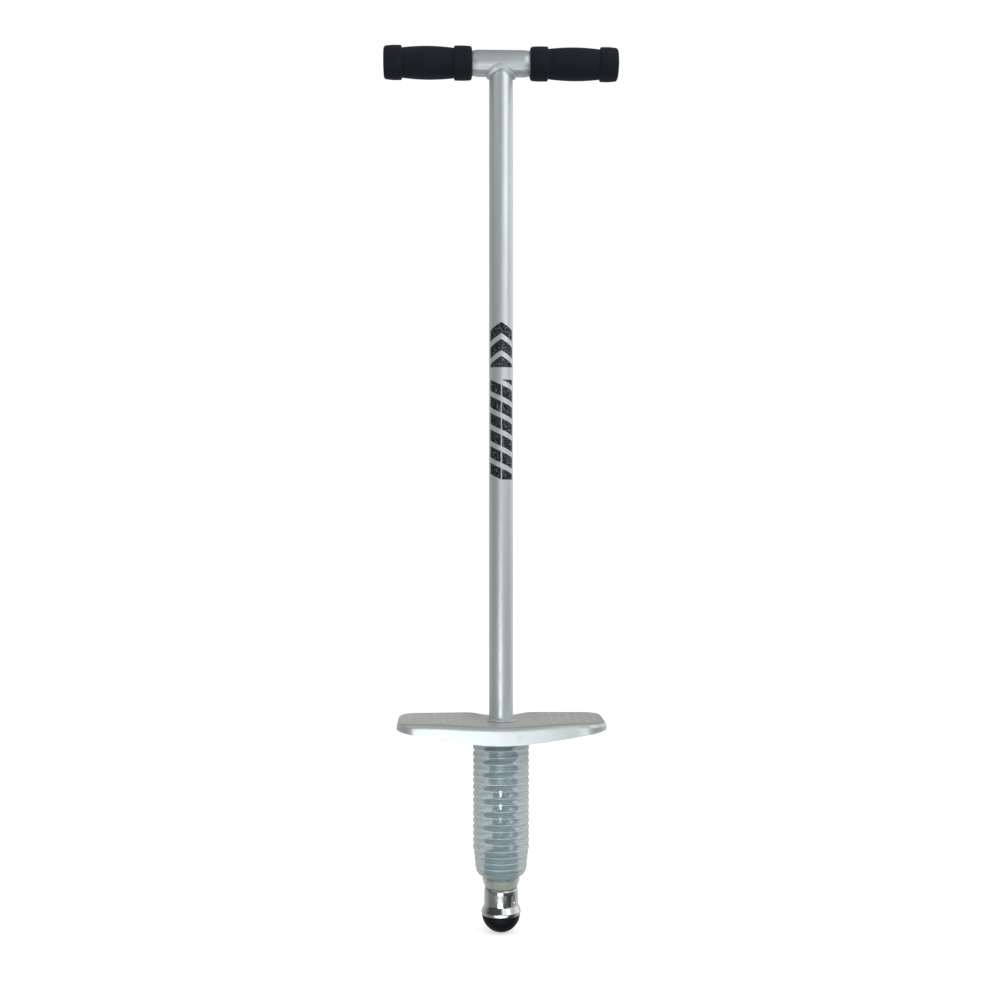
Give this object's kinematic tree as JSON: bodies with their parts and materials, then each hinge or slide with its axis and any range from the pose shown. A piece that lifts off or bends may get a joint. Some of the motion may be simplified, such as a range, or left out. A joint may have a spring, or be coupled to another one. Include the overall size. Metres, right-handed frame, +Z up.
{
  "type": "pogo stick",
  "caption": "Pogo stick with a T handle and foam grips, a pressed steel footplate, and a sprung plunger with a rubber tip inside a ribbed translucent bellows.",
  "frame": {"origin": "on the stick's axis, at the bottom of the rubber tip where it meets the ground", "axes": "+Z up along the tube, X along the handle, -Y towards the front, the side with the printed tube"},
  "size_m": [0.2498, 0.092, 0.9441],
  "materials": {
    "silver_paint": "satin silver powder coat",
    "weld_paint": "painted weld bead",
    "grip_foam": "soft closed-cell foam rubber",
    "plug_plastic": "moulded, fine matte grain",
    "zinc_steel": "zinc plated",
    "nylon": "natural nylon",
    "pin_steel": "oiled hardened steel",
    "clip_plastic": "moulded band",
    "spring_steel": "dark blue-grey enamelled spring wire",
    "bellows_plastic": "translucent natural blow-moulded plastic",
    "chrome_plate": "bright chrome plating",
    "seat_plastic": "natural yellowish moulded plastic",
    "tip_rubber": "matte black rubber"
  },
  "bodies": {
    "frame": {"main_tube": "silver_paint", "crossbar": "silver_paint", "handle_weld": "weld_paint", "grip_left": "grip_foam", "grip_right": "grip_foam", "end_plug_left": "plug_plastic", "end_plug_right": "plug_plastic", "footplate": "silver_paint", "footplate_weld": "weld_paint", "spring_cup": "zinc_steel", "upper_spring_washer": "zinc_steel", "bellows_clip": "clip_plastic", "bellows": "bellows_plastic", "main_spring": "spring_steel", "guide_bush": "nylon", "stop_pin": "pin_steel"},
    "plunger": {"plunger_tube": "chrome_plate", "plunger_slider": "nylon", "lower_spring_seat": "seat_plastic", "foot_ferrule": "chrome_plate", "foot_pin": "zinc_steel", "tip_washer": "zinc_steel", "rubber_tip": "tip_rubber"}
  },
  "joints": [
    {"name": "plunger_slide", "type": "slide", "parent": "frame", "child": "plunger", "axis": [0, 0, 1], "range_m": [0, 0.07], "stiffness_N_per_m": 18800, "springref_m": -0.008, "deforming": ["main_spring", "bellows"]}
  ]
}
